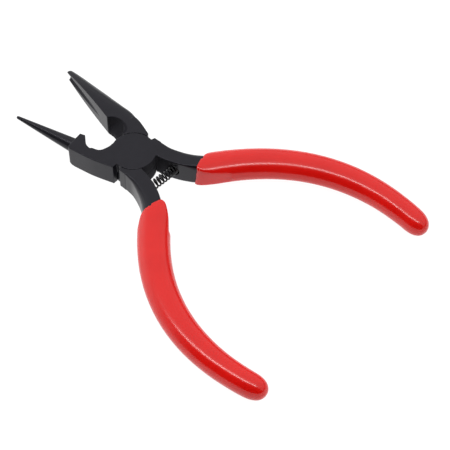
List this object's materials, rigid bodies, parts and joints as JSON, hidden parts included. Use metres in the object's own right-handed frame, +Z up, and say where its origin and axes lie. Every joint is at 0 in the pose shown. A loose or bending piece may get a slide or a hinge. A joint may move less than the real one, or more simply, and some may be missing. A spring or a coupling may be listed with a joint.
{
  "type": "round nose pliers",
  "caption": "Spring-loaded round nose looping pliers: a conical jaw closes into a channelled jaw; lap joint, coil return spring, dipped handle grips.",
  "frame": {"origin": "on the pivot axis, at the underside of the lap joint", "axes": "+X from the pivot to the handles, half way between them in the rest pose; +Z up through the thickness"},
  "size_m": [0.1278, 0.0884, 0.0091],
  "materials": {
    "coated_steel": "satin black coated forged steel",
    "rivet_steel": "satin black coated steel, ground flush",
    "spring_steel": "blackened spring wire",
    "red_grip": "glossy dipped soft plastic"
  },
  "bodies": {
    "concave_jaw_half": {"concave_jaw_lever": "coated_steel", "concave_side_grip": "red_grip", "pivot_rivet": "rivet_steel", "return_spring": "spring_steel"},
    "round_jaw_half": {"round_jaw_lever": "coated_steel", "round_side_grip": "red_grip"}
  },
  "joints": [
    {"name": "pivot", "type": "hinge", "parent": "concave_jaw_half", "child": "round_jaw_half", "pos_m": [0, 0, 0.00425], "axis": [0, 0, -1], "range_deg": [-12, 32], "stiffness_Nm_per_rad": 0.15, "deforming": ["return_spring"]}
  ]
}
